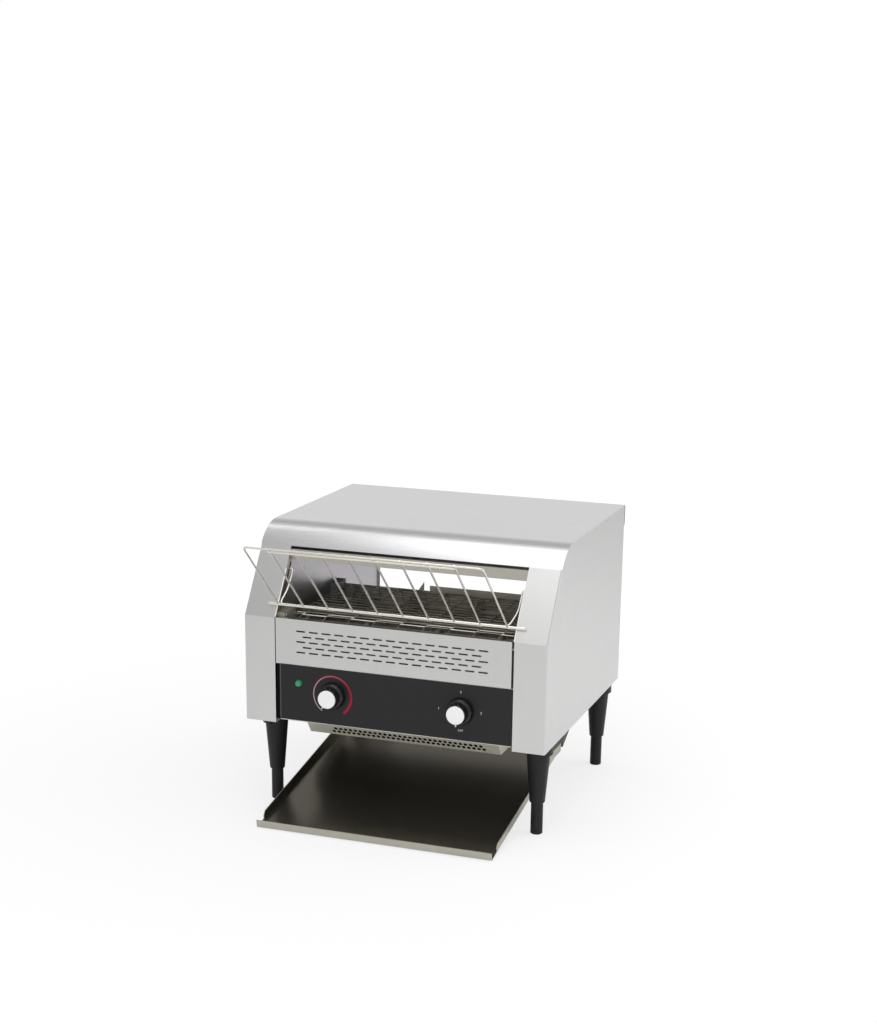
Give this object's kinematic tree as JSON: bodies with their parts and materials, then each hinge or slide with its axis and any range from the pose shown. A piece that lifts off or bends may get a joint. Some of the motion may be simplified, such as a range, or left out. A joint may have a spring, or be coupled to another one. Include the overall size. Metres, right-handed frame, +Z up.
{
  "type": "conveyor toaster",
  "caption": "Countertop conveyor toaster: bread goes down a slanted wire rack on to a wire belt between heaters, and toast slides out on a sloped tray below; tapered adjustable legs.",
  "frame": {"origin": "centre of the bounding box in plan, on the surface that the feet stand on", "axes": "+X to the right and -Y to the front as seen by the user, +Z up"},
  "size_m": [0.468, 0.5424, 0.4334],
  "materials": {
    "brushed_steel": "brushed stainless sheet",
    "inner_steel": "plain stainless sheet",
    "reflector_sheet": "satin heat-toned sheet",
    "black_panel": "gloss black enamel",
    "tray_coat": "dark satin non-stick coat over steel",
    "dark_bracket": "satin black paint",
    "rack_wire": "polished steel wire",
    "belt_wire": "heat-darkened wire",
    "shaft_steel": "turned steel",
    "element_sheath": "matt metal sheath",
    "ceramic": null,
    "black_plastic": "satin black",
    "knob_black": "gloss black",
    "knob_cap": "fine satin disc",
    "green_lens": "translucent green",
    "motor_grey": "grey paint",
    "board_green": "circuit board lacquer",
    "screw_steel": "bright plated"
  },
  "bodies": {
    "chassis": {"left_side_panel": "brushed_steel", "right_side_panel": "brushed_steel", "top_cover": "brushed_steel", "rear_panel": "brushed_steel", "left_inner_wall": "inner_steel", "right_inner_wall": "inner_steel", "base_plate": "inner_steel", "heat_deck": "reflector_sheet", "slotted_front_panel": "brushed_steel", "inner_vent_baffle": "inner_steel", "control_panel": "black_panel", "vent_pan": "inner_steel", "upper_reflector": "reflector_sheet", "upper_heating_elements": "element_sheath", "lower_heating_elements": "element_sheath", "upper_element_insulators": "ceramic", "lower_element_insulators": "ceramic", "toast_chute": "inner_steel", "rear_deflector": "inner_steel", "conveyor_belt": "belt_wire", "front_left_bearing": "dark_bracket", "rear_left_bearing": "dark_bracket", "front_right_bearing": "dark_bracket", "rear_right_bearing": "dark_bracket", "gear_motor": "motor_grey", "drive_chain": "belt_wire", "left_tray_hanger": "dark_bracket", "right_tray_hanger": "dark_bracket", "pilot_lamp": "green_lens", "speed_control": "shaft_steel", "selector_switch": "black_plastic", "control_board": "board_green", "terminal_block": "ceramic", "cable_gland": "black_plastic", "base_screws": "screw_steel", "rear_screws": "screw_steel", "bracket_screws": "screw_steel", "front_left_leg": "black_plastic", "front_right_leg": "black_plastic", "rear_left_leg": "black_plastic", "rear_right_leg": "black_plastic"},
    "speed_dial": {"speed_spindle": "shaft_steel", "speed_knob": "knob_black", "speed_knob_cap": "knob_cap"},
    "selector_dial": {"selector_spindle": "shaft_steel", "selector_knob": "knob_black", "selector_knob_cap": "knob_cap"},
    "belt_drive_shaft": {"drive_shaft": "shaft_steel", "drive_sprocket": "shaft_steel"},
    "belt_idler_shaft": {"idler_shaft": "shaft_steel"},
    "motor_output": {"motor_sprocket": "shaft_steel"},
    "bread_rack": {"feed_rack": "rack_wire"},
    "outlet_tray": {"toast_tray": "tray_coat"},
    "front_left_adjuster": {"front_left_foot": "black_plastic"},
    "front_right_adjuster": {"front_right_foot": "black_plastic"},
    "rear_left_adjuster": {"rear_left_foot": "black_plastic"},
    "rear_right_adjuster": {"rear_right_foot": "black_plastic"}
  },
  "joints": [
    {"name": "speed_turn", "type": "hinge", "parent": "chassis", "child": "speed_dial", "pos_m": [-0.093, -0.16064, 0.193], "axis": [0, 1, 0], "range_deg": [0, 270]},
    {"name": "selector_turn", "type": "hinge", "parent": "chassis", "child": "selector_dial", "pos_m": [0.1062, -0.16064, 0.1923], "axis": [0, 1, 0], "range_deg": [0, 270]},
    {"name": "drive_spin", "type": "hinge", "parent": "chassis", "child": "belt_drive_shaft", "pos_m": [0, 0.06736, 0.281], "axis": [1, 0, 0], "continuous": true},
    {"name": "idler_spin", "type": "hinge", "parent": "chassis", "child": "belt_idler_shaft", "pos_m": [0, -0.12864, 0.281], "axis": [1, 0, 0], "continuous": true},
    {"name": "motor_spin", "type": "hinge", "parent": "chassis", "child": "motor_output", "pos_m": [-0.203, 0.02936, 0.19], "axis": [1, 0, 0], "continuous": true},
    {"name": "rack_lift", "type": "slide", "parent": "chassis", "child": "bread_rack", "axis": [0, 0.5519, 0.8339], "range_m": [0, 0.01]},
    {"name": "tray_slide", "type": "slide", "parent": "chassis", "child": "outlet_tray", "axis": [0, -1, 0], "range_m": [0, 0.08]},
    {"name": "front_left_foot_height", "type": "slide", "parent": "chassis", "child": "front_left_adjuster", "axis": [0, 0, 1], "range_m": [-0.005, 0.038]},
    {"name": "front_right_foot_height", "type": "slide", "parent": "chassis", "child": "front_right_adjuster", "axis": [0, 0, 1], "range_m": [-0.005, 0.038]},
    {"name": "rear_left_foot_height", "type": "slide", "parent": "chassis", "child": "rear_left_adjuster", "axis": [0, 0, 1], "range_m": [-0.005, 0.038]},
    {"name": "rear_right_foot_height", "type": "slide", "parent": "chassis", "child": "rear_right_adjuster", "axis": [0, 0, 1], "range_m": [-0.005, 0.038]}
  ],
  "couplings": [
    {"joint": "idler_spin", "follows": "drive_spin", "ratio": 1},
    {"joint": "motor_spin", "follows": "drive_spin", "ratio": 1.5}
  ]
}
